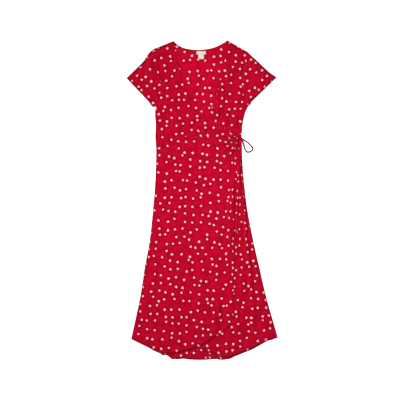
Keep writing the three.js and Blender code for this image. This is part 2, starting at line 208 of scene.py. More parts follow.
def clothFinish(name, cloth, edge):
    finish = Finish(name)
    place = finish.node("ShaderNodeUVMap", {"uv_map": clothMap})
    cells = finish.node(
        "ShaderNodeTexVoronoi",
        {"voronoi_dimensions": "2D"},
        {"Vector": place, "Scale": 1, "Randomness": crepe["scatter"]},
    )
    heart, ring = heartShape(finish, place, cells, cloth["printed"])
    # The mottle is random tone; the clouds are partly random tone and partly painted shade, broad darker
    # patches standing in for the soft shade of small wrinkles.
    mottle = finish.noise(place, crepe["pitch"] / crepe["mottle"], 4)
    blotches = finish.ranged(mottle, *crepe["mottleRange"])
    cloud = finish.noise(place, crepe["pitch"] / crepe["cloud"], 1)
    clouds = finish.ranged(cloud, *crepe["cloudRange"], crepe["cloudShare"])
    mottled = finish.mix(blotches * crepe["mottleShare"], cloth["red"], cloth["deep"])
    clouded = finish.mix(clouds, mottled, cloth["deep"])
    ground = finish.mix(ring * crepe["ringShare"], clouded, cloth["deep"])
    crinkle = finish.noise(place, crepe["pitch"] / crepe["crinkle"], 2)
    grain = finish.noise(place, crepe["pitch"] / crepe["grain"], 3)
    relief = crinkle + 0.1 * grain
    printed = finish.mix(heart, ground, crepe["motif"])
    # Painted shade: the base colour darkens towards the shade colour where the painted shade map is high.
    paintedShadeMask = finish.node("ShaderNodeAttribute", {"attribute_name": paintedShadeMap}, None, "Fac")
    bump = finish.node("ShaderNodeBump", None, {"Distance": crepe["relief"] * mm, "Height": relief})
    return finish.surface({
        "Base Color": finish.mix(paintedShadeMask * crepe["edgeShare"], printed, crepe[edge]),
        "Roughness": crepe["roughness"],
        "Specular IOR Level": 0.04,
        "Sheen Weight": crepe["sheen"],
        "Sheen Roughness": 0.4,
        "Sheen Tint": (0.9, 0.25, 0.32, 1),
        "Normal": bump,
    })


def threadFinish():
    finish = Finish("redThread")
    place = finish.node("ShaderNodeTexCoord", None, None, "Object")
    twist = finish.noise(place, 1 / (0.6 * mm))
    return finish.surface({
        "Base Color": finish.mix(twist, (0.40, 0.004, 0.02, 1), (0.56, 0.012, 0.035, 1)),
        "Roughness": 0.6,
        "Specular IOR Level": 0.2,
    })


def tapeFinish():
    finish = Finish("creamTape")
    place = finish.node("ShaderNodeUVMap", {"uv_map": clothMap})
    weave = finish.node(
        "ShaderNodeTexWave",
        {"wave_type": "BANDS", "bands_direction": "Y"},
        {"Vector": place, "Scale": 14, "Distortion": 0.6, "Detail": 1},
    )
    bump = finish.node("ShaderNodeBump", None, {"Strength": 0.3, "Distance": 0.15 * mm, "Height": weave})
    return finish.surface({
        "Base Color": finish.mix(weave, (0.56, 0.50, 0.43, 1), (0.63, 0.58, 0.51, 1)),
        "Roughness": 0.55,
        "Sheen Weight": 0.2,
        "Normal": bump,
    })


outsideCloth = clothFinish("printedCrepe", crepe["outside"], "edge")
insideCloth = clothFinish("printedCrepeInside", crepe["inside"], "edge")
tieCloth = clothFinish("printedCrepeTie", crepe["tie"], "tieEdge")
redThread = threadFinish()
creamTape = tapeFinish()
print("materials made")


# Meshes
def makePiece(name, points, faces, spots, material, depth=None):
    # points in mm, spots are the points' places on the flat cloth, in mm, and the last argument their
    # painted shade, 0 to 1
    mesh = bpy.data.meshes.new(name)
    mesh.from_pydata((np.asarray(points) * mm).tolist(), [], faces)
    mesh.polygons.foreach_set("use_smooth", [True] * len(mesh.polygons))
    flatMap = mesh.uv_layers.new(name=clothMap)
    owner = np.zeros(len(mesh.loops), np.int32)
    mesh.loops.foreach_get("vertex_index", owner)
    flatMap.uv.foreach_set("vector", (np.asarray(spots)[owner] / crepe["pitch"]).astype(np.float32).ravel())
    if depth is not None:
        mesh.attributes.new(paintedShadeMap, "FLOAT", "POINT").data.foreach_set("value", depth.astype(np.float32))
    mesh.materials.append(material)
    mesh.update()
    piece = linked(name, mesh)
    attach(piece, "root")
    return piece


def smoothLine(points, count):
    # count points at equal steps along a smooth curve through the given ones
    points = np.asarray(points, float)
    ends = np.vstack([2 * points[0] - points[1], points, 2 * points[-1] - points[-2]])
    t = np.linspace(0, 1, 12, endpoint=False)[:, None]
    pieces = []
    for k in range(len(points) - 1):
        a, b, c, d = ends[k:k + 4]
        bend = (2 * a - 5 * b + 4 * c - d) * t ** 2 + (3 * b - a - 3 * c + d) * t ** 3
        pieces.append(0.5 * (2 * b + (c - a) * t + bend))
    dense = np.vstack([*pieces, points[-1:]])
    return atSteps(dense, count)


def alongOf(line):
    # how far along a line each of its points lies
    return np.concatenate([[0], np.cumsum(np.linalg.norm(np.diff(line, axis=0), axis=1))])


def placeAt(line, at):
    along = alongOf(line)
    return np.stack([np.interp(at, along, line[:, k]) for k in range(line.shape[1])], axis=1)


def atSteps(line, count):
    return placeAt(line, np.linspace(0, alongOf(line)[-1], count))


def lengthOf(line):
    return float(np.linalg.norm(np.diff(line, axis=0), axis=1).sum())


def turnedBy(x, y, angle):
    return x * math.cos(angle) - y * math.sin(angle), x * math.sin(angle) + y * math.cos(angle)


def smoothStep(value, start, end):
    t = np.clip((value - start) / (end - start), 0, 1)
    return t * t * (3 - 2 * t)


# Tie: a narrow bias tube with a knot, one loop and one free end
tie = {
    "diameter": 6.4,
    "sides": 14,
    "step": 1.6,
    "flatness": 0.62,
    "tucked": 4,
    "uneven": ((0.05, 7.3), (0.03, 2.9)),
    "endTaper": 0.72,
    "printStep": (11.7, 5.3),
    # Painted shade of each part of the tie, at its ends and between them, and how far from the ends it
    # fades; the loop is painted darkest.
    "shade": {"loop": (0.3, 1.2), "end": (0.2, 0.12), "knot": (0.3, 0.3), "fade": 6},
    "loop": [
        (180.4, 263.2, 9.2), (187.4, 259.8, 8), (197, 254.4, 5.4), (207, 245.8, 3.4), (216, 236, 2.6),
        (222.6, 226.4, 2.5), (221.4, 217, 2.5), (213, 211, 2.5), (203.4, 208.6, 2.5), (195.6, 211.4, 2.5),
        (190.4, 219, 2.6), (187, 229.4, 3.6), (184, 240, 5.6), (180.6, 250, 8), (177.8, 258.8, 9.1),
    ],
    "end": [
        (169.4, 259.4, 8.9), (168.2, 250, 9), (171, 236, 8), (171.6, 218, 7.4), (170.6, 198, 7.4),
        (168.4, 176, 7.6), (166.6, 152, 7.8), (165, 130, 7.8), (163.6, 108, 7.6), (164.4, 88, 7.4),
        (168.6, 66, 7), (174.6, 44, 6.2), (180.2, 22, 5.8), (183.4, 0, 5.8), (184.6, -24, 5.8),
        (186.8, -48, 5.8), (190.6, -70, 5.8),
    ],
}
knot = {
    "x": 173.4, "y": 266.2, "z": 9.3, "turn": 0.5, "radius": 2.1, "steps": 90,
    "wide": 4.6, "high": 2.4, "long": 12, "wound": 0.86, "turns": 2.6, "taper": 0.35,
}


def tube(name, line, radius, shift, flatness, shade):
    # a cloth tube round a line, with closed ends; shade is its painted shade at the ends and between them
    count, sides = len(line), tie["sides"]
    ahead = np.gradient(line, axis=0)
    ahead /= np.linalg.norm(ahead, axis=1)[:, None]
    side = np.cross(ahead, (0, 0, 1.0))
    side /= np.maximum(np.linalg.norm(side, axis=1), 1e-9)[:, None]
    above = np.cross(side, ahead)
    angle = np.linspace(0, 2 * math.pi, sides, endpoint=False) - math.pi / 2
    along = alongOf(line)
    (slow, slowStep), (quick, quickStep) = tie["uneven"]
    swell = radius * (1 + slow * np.sin(along / slowStep + shift) + quick * np.sin(along / quickStep))
    swell[[0, -1]] *= tie["endTaper"]
    wide, high = np.cos(angle)[None, :, None], flatness * np.sin(angle)[None, :, None]
    points = line[:, None] + swell[:, None, None] * (wide * side[:, None] + high * above[:, None])
    around = (angle + math.pi / 2) * radius
    overStep, alongStep = tie["printStep"]
    spots = np.broadcast_arrays(around[None] + shift * overStep, along[:, None] + shift * alongStep)
    spots = np.stack(spots, axis=-1)
    points = np.vstack([points.reshape(-1, 3), line[:1], line[-1:]])
    spots = np.vstack([spots.reshape(-1, 2), spots[0, :1], spots[-1, :1]])
    at = np.arange(count * sides).reshape(count, sides)
    after = np.roll(at, -1, axis=1)
    faces = np.stack([at[:-1], at[1:], after[1:], after[:-1]], axis=-1).reshape(-1, 4).tolist()
    faces += [(int(a), int(b), count * sides) for a, b in zip(at[0], after[0])]
    faces += [(int(b), int(a), count * sides + 1) for a, b in zip(at[-1], after[-1])]
    fromEnd = np.minimum(along, along[-1] - along)
    depth = shade[1] + (shade[0] - shade[1]) * np.exp(-fromEnd / tie["shade"]["fade"])
    depth = np.concatenate([np.repeat(depth, sides), depth[[0, -1]]])
    return makePiece(name, points, faces, spots, tieCloth, depth)


def tucked(line, part):
    # the tube runs on a little at the ends that go into the knot
    middle = np.array([knot["x"], knot["y"], knot["z"]])

    def inward(end):
        way = middle - end
        return end + way * min(1, tie["tucked"] / np.linalg.norm(way))

    after = [inward(line[-1])[None]] if part == "loop" else []
    return np.vstack([inward(line[0])[None], line, *after])


def makeTie():
    for part, farEnd, shift in (("loop", "object", 1.0), ("end", "bare", 2.0)):
        route = np.array(tie[part], float)
        line = smoothLine(route, round(lengthOf(route) / tie["step"]))
        whole = tucked(line, part)
        name = "tie_" + part + "_cord"
        piece = tube(name, whole, tie["diameter"] / 2, shift, tie["flatness"], tie["shade"][part])
        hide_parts("tie_" + part)


def makeKnot():
    # the tube wound round itself, its ends tucked in
    t = np.linspace(0, 1, knot["steps"])
    angle = 2 * math.pi * knot["turns"] * t
    ease = np.sin(math.pi * np.clip(t, 0.02, 0.98)) ** knot["taper"]
    local = np.stack([
        knot["wide"] * ease * np.cos(angle),
        knot["long"] * (t - 0.5) * knot["wound"],
        knot["high"] * ease * np.sin(angle),
    ], axis=1)
    x, y = turnedBy(local[:, 0], local[:, 1], knot["turn"])
    line = np.stack([knot["x"] + x, knot["y"] + y, knot["z"] + local[:, 2]], axis=1)
    piece = tube("tie_knot_wrap", line, knot["radius"], 3.0, 1.0, tie["shade"]["knot"])
    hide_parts("tie_knot")


makeTie()
makeKnot()
print("tie made")


# The cut, read from the frame's own panels between these corners
corner = {
    "neckR": (-124, 696), "neckL": (112, 699), "shoulderR": (-203, 664), "shoulderL": (196, 651),
    "underarmR": (-201, 411), "underarmL": (206, 413), "waistR": (-204, 277), "waistL": (174, 275),
    "hemR": (-310, -609), "hemL": (333, -602), "underWaist": (-161, 278),
    "overCorner": (47, -603), "underCorner": (-52, -616),
    "cuffTopR": (-330, 532), "cuffLowR": (-233, 429), "cuffTopL": (328, 536), "cuffLowL": (219, 430),
}
layer = {"wall": 1.3, "gap": 0.3, "cloth": 0.75}
level = {"back": 0, "under": layer["wall"] + layer["gap"], "over": 2 * (layer["wall"] + layer["gap"])}


upright = {"panel": 0.3, "sleeve": 0.95}  # the least that a face of the upper side looks up


def outlineOf(node, least):
    # the loop round the upper face of a panel, in mm, seen from above
    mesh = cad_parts[node].data
    places = np.array([v.co for v in mesh.vertices]) / mm
    _, first, same = np.unique(np.round(places, 3), axis=0, return_index=True, return_inverse=True)
    places, same = places[first], same.ravel()
    used = {}
    for face in mesh.polygons:
        if face.normal.z < least:
            continue
        ring = [int(same[v]) for v in face.vertices]
        for a, b in zip(ring, ring[1:] + ring[:1]):
            used[frozenset((a, b))] = used.get(frozenset((a, b)), 0) + 1
    nextTo = {}
    for edge in (e for e, times in used.items() if times == 1):
        a, b = tuple(edge)
        nextTo.setdefault(a, []).append(b)
        nextTo.setdefault(b, []).append(a)
    start = min(nextTo)
    loop = [start, nextTo[start][0]]
    while loop[-1] != start:
        options = [v for v in nextTo[loop[-1]] if v != loop[-2]]
        loop.append(options[0])
    return places[loop[:-1], :2]


def runsOf(loop, names):
    # the stretches of a loop from corner to corner, each the shorter way round
    runs = []
    for name, following in zip(names, names[1:]):
        i, j = (int(np.linalg.norm(loop - corner[n], axis=1).argmin()) for n in (name, following))
        forward = loop[np.arange(i, j + 1 if j > i else j + 1 + len(loop)) % len(loop)]
        backward = loop[np.arange(i, j - 1 if j < i else j - 1 - len(loop), -1) % len(loop)]
        runs.append(min((forward, backward), key=lengthOf))
    return runs


def edgeLine(runs, count):
    # the runs joined into one line of count points that keeps the corners between them
    sizes = np.array([lengthOf(run) for run in runs])
    ends = np.round(np.cumsum(sizes) / sizes.sum() * (count - 1)).astype(int)
    steps = np.diff(np.concatenate([[0], ends]))
    lines = [smoothLine(run, n + 1) for run, n in zip(runs, steps)]
    return np.vstack([lines[0], *[line[1:] for line in lines[1:]]])


def between(top, bottom, left, right):
    # a grid of plan points between four edges that share their corners
    u = np.linspace(0, 1, len(top))[None, :, None]
    v = np.linspace(0, 1, len(left))[:, None, None]
    upper = (1 - u) * top[0] + u * top[-1]
    lower = (1 - u) * bottom[0] + u * bottom[-1]
    sides = (1 - v) * top[None] + v * bottom[None] + (1 - u) * left[:, None] + u * right[:, None]
    return sides - (1 - v) * upper - v * lower


def nearestOn(points, line):
    # distance to a line, its sign (positive to the left of the way it runs) and the share of its length
    a, b = line[:-1], line[1:]
    run = b - a
    square = np.maximum((run ** 2).sum(1), 1e-9)
    away = points[:, None] - a[None]
    t = np.clip((away * run[None]).sum(2) / square, 0, 1)
    rest = away - t[..., None] * run[None]
    distance = np.sqrt((rest ** 2).sum(2))
    best = distance.argmin(1)
    rows = np.arange(len(points))
    cross = run[best, 0] * away[rows, best, 1] - run[best, 1] * away[rows, best, 0]
    sizes = np.sqrt(square)
    start = np.concatenate([[0], np.cumsum(sizes)])
    share = (start[best] + t[rows, best] * sizes[best]) / start[-1]
    return distance[rows, best], np.sign(cross), share


# Folds: each row is a soft ridge (or trough, where high is below 0) along a bowed line
foldReach = 3.2  # how far out a fold is worked out, in its widths


def foldHeight(points, folds):
    total = np.zeros(len(points))
    for x1, y1, x2, y2, bow, high, wide, rise, fall, lean in folds:
        start, end = np.array([x1, y1], float), np.array([x2, y2], float)
        reach = foldReach * wide + abs(bow)
        low, top = np.minimum(start, end) - reach, np.maximum(start, end) + reach
        close = np.flatnonzero(((points > low) & (points < top)).all(1))
        if not len(close):
            continue
        t = np.linspace(0, 1, 9)[:, None]
        across = np.array([end[1] - start[1], start[0] - end[0]]) / np.linalg.norm(end - start)
        line = start + (end - start) * t + across * bow * np.sin(math.pi * t)
        distance, sign, share = nearestOn(points[close], line)
        width = wide * (1 - lean * sign)
        fade = smoothStep(share, 0, rise) * (1 - smoothStep(share, 1 - fall, 1))
        beyond = np.exp(-(distance / width) ** 2)
        total[close] += high * fade * beyond
    return total


# Folds that fan out from the knot over both parts of the upper wrap: direction in degrees, reach, height,
# half angle and curl of each
gathers = [
    (137, 84, 3.2, 5, 0), (149, 116, 4.4, 5, -2), (159, 76, 3.8, 4, 2), (169, 100, 4.2, 4, -3),
    (179, 90, 3.8, 3.4, 5), (189, 120, 5, 4.2, 4), (200, 96, 4.6, 4, 6), (211, 132, 5.4, 4.6, 3),
    (223, 104, 4.8, 4.4, 5), (235, 140, 5.2, 4.8, -3), (248, 120, 4.2, 4.4, 2), (260, 170, 3, 4, 0),
]


gatherFade = {"start": 7, "end": 24, "kept": 0.25}


def fromKnot(points):
    away = points - np.array([knot["x"], knot["y"]])
    return np.linalg.norm(away, axis=-1), np.degrees(np.arctan2(away[..., 1], away[..., 0])) % 360


def gatherHeight(points, rows):
    distance, angle = fromKnot(points)
    total = np.zeros(len(points))
    for turn, reach, high, half, curl in rows:
        along = distance / reach
        across = (angle - turn - curl * along) / half
        rise = smoothStep(distance, gatherFade["start"], gatherFade["end"])
        fade = rise * (1 - smoothStep(along, gatherFade["kept"], 1))
        total += high * fade * np.exp(-across ** 2)
    return total


def ripples(points, seed, high, short, long):
    # low soft waves in all directions, too small to place one by one
    chance = np.random.default_rng(seed)
    total = np.zeros(len(points))
    count = 26
    for _ in range(count):
        angle, phase = chance.uniform(0, math.pi), chance.uniform(0, 2 * math.pi)
        size = math.exp(chance.uniform(math.log(short), math.log(long)))
        wave = 2 * math.pi / size
        total += (size / long) * np.sin(points @ np.array([math.cos(angle), math.sin(angle)]) * wave + phase)
    return high * total / math.sqrt(count / 2)


edgeForms = {
    "hem": {"width": 14, "raise": 0.5, "dent": 0.35, "stitch": 12, "lift": 0.6, "round": 0.5},
    "neck": {"width": 8, "raise": 0.3, "dent": 0.3, "stitch": 6.5, "lift": 0.3, "round": 0.4, "slope": 0.8},
    "backNeck": {"width": 8, "raise": 0.4, "dent": 0.3, "stitch": 6.5, "lift": 0.3, "round": 0.4},
    "wrap": {"width": 9, "raise": 0.3, "dent": 0.35, "stitch": 7.5, "lift": 0.5, "round": 0.4, "slope": 0.8},
    "seam": {"width": 2.5, "drop": 0.08},
    "side": {"width": 7, "drop": 1.8},
    "open": {"width": 3, "drop": 0.3},
}
paintedEdgeShades = {  # painted shade along each edge: how dark, and how far in
    "hem": (0.75, 11), "neck": (0.05, 5), "backNeck": (0.8, 7.5), "wrap": (0.06, 4), "seam": (0.03, 3),
    "side": (0.85, 5.5), "open": (0.8, 9),
}
pressed = {  # how far in from an edge its pucker, lift, round and slope reach, and how sharp a hem is
    "pucker": 0.12, "puckerStep": 1.9, "puckerIn": 9, "liftIn": 11, "roundIn": 1.6, "slopeIn": 7,
    "turn": 1.5, "dentWide": 1.6, "even": 0.6, "quick": 23, "slow": 9.1,
}
# Painted shade in creases: how dark, the hollow that gets the full amount, the darkest, and how much darker
# and how far round the knot.
creaseShade = {"depth": 0.48, "low": 0.35, "most": 0.85, "atKnot": 2.9, "knotReach": 66}
highestFold = 8


def paintedShade(points, lines):
    # painted shade along edges: lines are the edges with how dark each is painted, and how far in
    total = np.zeros(len(points))
    for line, depth, reach in lines:
        distance, _, _ = nearestOn(points, line)
        total = np.maximum(total, depth * np.exp(-(distance / reach) ** 2))
    return total


def edgeHeight(points, line, form, seed):
    distance, _, share = nearestOn(points, line)
    if "drop" in form:
        wave = np.sin(share * lengthOf(line) / pressed["puckerStep"] + seed)
        pucker = pressed["pucker"] * wave * np.exp(-(distance / pressed["puckerIn"]) ** 2)
        return pucker - form["drop"] * (1 - smoothStep(distance, 0, form["width"])) ** 2
    inner, outer = form["width"] - pressed["turn"], form["width"] + pressed["turn"]
    turned = form["raise"] * (1 - smoothStep(distance, inner, outer))
    dent = form["dent"] * np.exp(-((distance - form["stitch"]) / pressed["dentWide"]) ** 2)
    wander = np.sin(share * pressed["quick"] + seed) * np.sin(share * pressed["slow"] + 2 * seed)
    lifted = pressed["even"] + (1 - pressed["even"]) * wander
    lift = form["lift"] * lifted * np.exp(-(distance / pressed["liftIn"]) ** 2)
    edge = form["round"] * np.exp(-(distance / pressed["roundIn"]) ** 2)
    slope = form.get("slope", 0) * np.exp(-(distance / pressed["slopeIn"]) ** 2)
    return turned - dent + lift - edge - slope


def wrapEdge(side, top, waist, low):
    neck = runsOf(outlineOf(side + "_bodice", upright["panel"]), [top, waist])
    front = runsOf(outlineOf(side + "_skirt", upright["panel"]), [waist, low])
    return edgeLine(neck + front, 120)


underEdge = wrapEdge("left_front", "neckL", "underWaist", "underCorner")
overEdge = wrapEdge("right_front", "neckR", "waistL", "overCorner")
stepDown = {"start": 24, "end": 64}
clearOfEdge = {"start": 2, "end": 24}
tieRoom = {"start": 3, "end": 14, "kept": 0.2}


def overLevel(points):
    distance, sign, _ = nearestOn(points, underEdge)
    down = smoothStep(-sign * distance, stepDown["start"], stepDown["end"])
    return level["over"] - down * (level["over"] - level["under"]) + layer["wall"]


def underSwell(points):
    # the under wrap keeps flat beneath the upper one and swells only beyond its edge
    distance, sign, _ = nearestOn(points, overEdge)
    return smoothStep(sign * distance, clearOfEdge["start"], clearOfEdge["end"])


def paintedCreaseShade(top, plan):
    # painted shade in creases: how far each point of a grid lies below its neighbourhood, painted darker the
    # deeper it lies, most at the knot
    around = top
    for _ in range(3):
        padded = np.pad(around, 1, mode="edge")
        around = (padded[:-2, 1:-1] + padded[2:, 1:-1] + padded[1:-1, :-2] + padded[1:-1, 2:]) / 4
    distance, _ = fromKnot(plan)
    deeper = 1 + creaseShade["atKnot"] * np.exp(-(distance / creaseShade["knotReach"]) ** 2)
    return np.clip(creaseShade["depth"] * deeper * (around - top) / creaseShade["low"], 0, creaseShade["most"])


def besideTie(points):
    # the cloth keeps flat under the tie's free end
    distance, _, _ = nearestOn(points, np.array(tie["end"])[:, :2])
    return tieRoom["kept"] + (1 - tieRoom["kept"]) * smoothStep(distance, tieRoom["start"], tieRoom["end"])


def gridFaces(down, across, start, flip):
    at = start + np.arange(down * across).reshape(down, across)
    ring = [at[:-1, :-1], at[1:, :-1], at[1:, 1:], at[:-1, 1:]]
    return np.stack(ring[::-1] if flip else ring, axis=-1).reshape(-1, 4)


def rimOf(down, across):
    # the point numbers round a grid, clockwise as seen from above
    at = np.arange(down * across).reshape(down, across)
    return np.concatenate([at[0, :-1], at[:-1, -1], at[-1, :0:-1], at[:0:-1, 0]])


def bandFaces(upper, lower):
    # the faces between two such rings, looking outward
    return np.stack([upper, np.roll(upper, -1), np.roll(lower, -1), lower], axis=-1)


# How far from the knot, and from the wrap's edge, the cloth is drawn together and takes its print along
gathered = {"drawnTo": 62, "bunchedTo": 66, "bunchedLow": -420, "bunchedHigh": -120}
pleats = {"apart": 12.5, "high": 0.6, "wander": ((1.7, 47, 0), (0.9, 19, 1)), "least": 0.6, "fade": 31}


def besideWrap(points):
    # distance to the wrap's edge, and how much the cloth there is pushed together sideways
    distance, _, _ = nearestOn(points, overEdge)
    near = np.clip(1 - distance / gathered["bunchedTo"], 0, 1)
    return distance, near, smoothStep(points[:, 1], gathered["bunchedLow"], gathered["bunchedHigh"])


def bunchedUp(plan):
    _, near, high = besideWrap(plan.reshape(-1, 2))
    return (high * gathered["bunchedTo"] * near ** 2 / 2).reshape(plan.shape[:-1])


def pleatHeight(points):
    # fine upright pleats where the cloth is pushed together
    distance, near, high = besideWrap(points)
    y = points[:, 1]
    phase = 2 * math.pi * distance / pleats["apart"]
    for size, step, start in pleats["wander"]:
        phase = phase + size * np.sin(y / step + start)
    rise = pleats["least"] + (1 - pleats["least"]) * np.sin(y / pleats["fade"])
    return pleats["high"] * rise * high * np.minimum(1, 2 * near) * np.sin(phase)


def onCloth(x, y, form):
    # places on the flat cloth, turned to the piece's grain
    x, y = turnedBy(x, y, math.radians(form["grain"]))
    return np.stack([x + form["shift"][0], y + form["shift"][1]], axis=-1)


def clothPlaces(plan, relief, form):
    # where each point lies on the flat cloth: what a fold takes up squeezes the print there
    taken = form["squeeze"]

    def extra(axis):
        flatStep = np.linalg.norm(np.diff(plan, axis=axis), axis=2)
        rise = np.diff(relief, axis=axis)
        more = taken * (np.sqrt(flatStep ** 2 + rise ** 2) - flatStep)
        pad = [(1, 0), (0, 0)] if axis == 0 else [(0, 0), (1, 0)]
        run = np.pad(np.cumsum(more, axis=axis), pad)
        middle = run.shape[axis] // 2
        return run - np.take(run, [middle], axis=axis)

    distance, turn = fromKnot(plan)
    drawn = form.get("drawn", {"middle": 0, "share": 0})
    more = drawn["share"] * np.exp(-(distance / gathered["drawnTo"]) ** 2) * (turn - drawn["middle"])
    drawnTo = np.radians(turn + more)
    x = knot["x"] + distance * np.cos(drawnTo) + extra(1) + form.get("bunched", 0) * bunchedUp(plan)
    return onCloth(x, knot["y"] + distance * np.sin(drawnTo) - extra(0), form)


def stitchPath(line, inside, middle):
    # a line moved inside the edge by a set distance, towards the piece's middle
    dense = atSteps(line, max(8, round(lengthOf(line) / 2)))
    ahead = np.gradient(dense, axis=0)
    ahead /= np.linalg.norm(ahead, axis=1)[:, None]
    across = np.stack([-ahead[:, 1], ahead[:, 0]], axis=1)
    towards = np.sign(((middle - dense) * across).sum(1).mean())
    return dense + across * inside * towards


stitch = {"pitch": 3.2, "long": 2.5, "wide": 0.55, "high": 0.34, "ends": 5}


def makeStitches(name, paths, heightOf):
    centres, ways = [], []
    for path in paths:
        count = int((lengthOf(path) - 2 * stitch["ends"]) / stitch["pitch"])
        if count < 2:
            continue
        at = stitch["ends"] + stitch["pitch"] * (np.arange(count) + 0.5)
        spot = placeAt(path, at)
        ahead = placeAt(path, at + 0.5) - spot
        centres.append(spot)
        ways.append(ahead / np.linalg.norm(ahead, axis=1)[:, None])
    centres, ways = np.vstack(centres), np.vstack(ways)
    # five stations along a stitch: its share of the half length, of its width, and of its height
    stations = [(-1, 0.15, -0.5), (-0.6, 1, 0.7), (0, 1.1, 1), (0.6, 1, 0.7), (1, 0.15, -0.5)]
    around = [(-1, 0), (0, 1), (1, 0), (0, -1)]
    across = np.stack([-ways[:, 1], ways[:, 0]], axis=1)
    rows = []
    for reach, width, height in stations:
        middle = centres + ways * reach * stitch["long"] / 2
        ground = heightOf(middle)
        for side, up in around:
            flat = middle + across * side * width * stitch["wide"] / 2
            rows.append(np.column_stack([flat, ground + stitch["high"] * (0.3 * height + 0.5 * up * width)]))
    points = np.stack(rows, axis=1)
    perStitch = len(rows)
    one = []
    for s in range(len(stations) - 1):
        for k in range(4):
            one.append((4 * s + k, 4 * s + 4 + k, 4 * s + 4 + (k + 1) % 4, 4 * s + (k + 1) % 4))
    one += [(3, 0, 1, 2), tuple(perStitch - n for n in (4, 1, 2, 3))]
    starts = np.arange(len(centres))[:, None, None] * perStitch
    faces = (starts + np.array(one)[None]).reshape(-1, 4).tolist()
    flatPoints = points.reshape(-1, 3)
    return makePiece(name, flatPoints, faces, flatPoints[:, :2], redThread)


# How far the hem hangs below or above its even line, across the dress: x and the rise there
unevenHem = [
    (-312, -3), (-238, -3.5), (-212, -8), (-170, -8), (-161, 3), (-147, 3), (-133, -4), (-120, 0),
    (-80, -1), (-66, -4.5), (65, -4.5), (80, -8), (104, -7.5), (126, -4), (144, 3.5), (183, 6),
    (289, 7), (306, 0.5), (333, -3),
]
hemFrom = {"start": 480, "end": 600}


def hung(line):
    # a line of plan points, moved with the hem where it is near it
    across, rise = np.array(unevenHem).T
    near = smoothStep(-line[:, 1], hemFrom["start"], hemFrom["end"])
    return line + np.column_stack([0 * near, near * np.interp(line[:, 0], across, rise)])


panelEdge = {"thinnest": 0.45, "reach": 0.16, "round": 0.1, "step": 12}


def borderLine(loop, names):
    size = lengthOf(np.array([corner[n] for n in names]))
    return hung(edgeLine(runsOf(loop, names), max(12, round(size / panelEdge["step"]))))


def makePanel(form):
    # a closed shell of cloth on the panel's own plan
    name = form["node"] + "_cloth"
    loop = outlineOf(form["node"], upright["panel"])
    across, down = form["grid"]
    edges = {side: hung(edgeLine(runsOf(loop, form[side]), count))
             for side, count in (("top", across), ("bottom", across), ("left", down), ("right", down))}
    plan = between(edges["top"], edges["bottom"], edges["left"], edges["right"])
    borders = [(borderLine(loop, names), kind) for kind, names in form["borders"]]

    def reliefOf(points):
        swell = form["swell"](points) if "swell" in form else 1.0
        shape = foldHeight(points, form["folds"]) + ripples(points, form["seed"], *form["ripples"])
        shape = shape + gatherHeight(points, form.get("gathers", []))
        if "bunched" in form:
            shape = shape + pleatHeight(points)
        return swell * highestFold * np.tanh(shape / highestFold)

    def heightOf(points):
        shape = reliefOf(points)
        for number, (line, kind) in enumerate(borders):
            shape = shape + edgeHeight(points, line, edgeForms[kind], form["seed"] + number)
        return form["level"](points) + besideTie(points) * shape

    flat = plan.reshape(-1, 2)
    top = heightOf(flat)
    floor = form["level"](flat) - layer["wall"]
    top = np.maximum(top, floor + panelEdge["thinnest"])
    thick = np.minimum(layer["cloth"], top - floor)
    bottom = np.zeros(len(flat)) if form.get("restsFlat") else top - thick
    spots = clothPlaces(plan, reliefOf(flat).reshape(down, across), form).reshape(-1, 2)
    size = down * across
    rim = rimOf(down, across)
    # the rim reaches the next piece at a seam, and is rounded by one more ring half way down
    way = np.roll(flat[rim], -1, axis=0) - np.roll(flat[rim], 1, axis=0)
    out = np.stack([way[:, 1], -way[:, 0]], axis=1) / np.linalg.norm(way, axis=1)[:, None]
    if (out * (flat[rim] - flat.mean(0))).sum() < 0:
        out = -out
    flat[rim] += panelEdge["reach"] * out
    edge = np.column_stack([flat[rim] + panelEdge["round"] * out, (top[rim] + bottom[rim]) / 2])
    points = np.vstack([np.column_stack([flat, top]), np.column_stack([flat, bottom]), edge])
    edgeAt = 2 * size + np.arange(len(rim))
    faces = [gridFaces(down, across, 0, False), gridFaces(down, across, size, True)]
    faces += [bandFaces(rim, edgeAt), bandFaces(edgeAt, rim + size)]
    spots = np.vstack([spots, spots, spots[rim]])
    # Painted shade along the edges where the cloth rolls away from the light, beside the wrap's edges where
    # the upper layer shades the cloth, and in creases.
    shades = [(line, *paintedEdgeShades[kind]) for line, kind in borders]
    shades += [(line, *form["shaded"]) for line in (underEdge, overEdge) if "shaded" in form]
    depth = paintedShade(flat, shades)
    depth = np.maximum(depth, paintedCreaseShade(top.reshape(down, across), plan).ravel())
    depth = np.concatenate([depth, depth, depth[rim]])
    piece = makePiece(name, points, np.vstack(faces).tolist(), spots, form["material"], depth)
    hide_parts(form["node"])
    middle = flat.mean(0)
    sewn = [(line, edgeForms[kind]["stitch"]) for line, kind in borders if "stitch" in edgeForms[kind]]
    paths = [stitchPath(line, inside, middle) for line, inside in sewn]
    seams = []
    if paths:
        seams = [makeStitches(name + "_stitches", paths, heightOf)]
    print(name, "made,", len(points), "points")


backSunk = 0.15  # the back's upper face lies this much lower than its solid's, clear of the fronts


def flatLevel(height):
    return lambda points: np.full(len(points), height + layer["wall"], float)


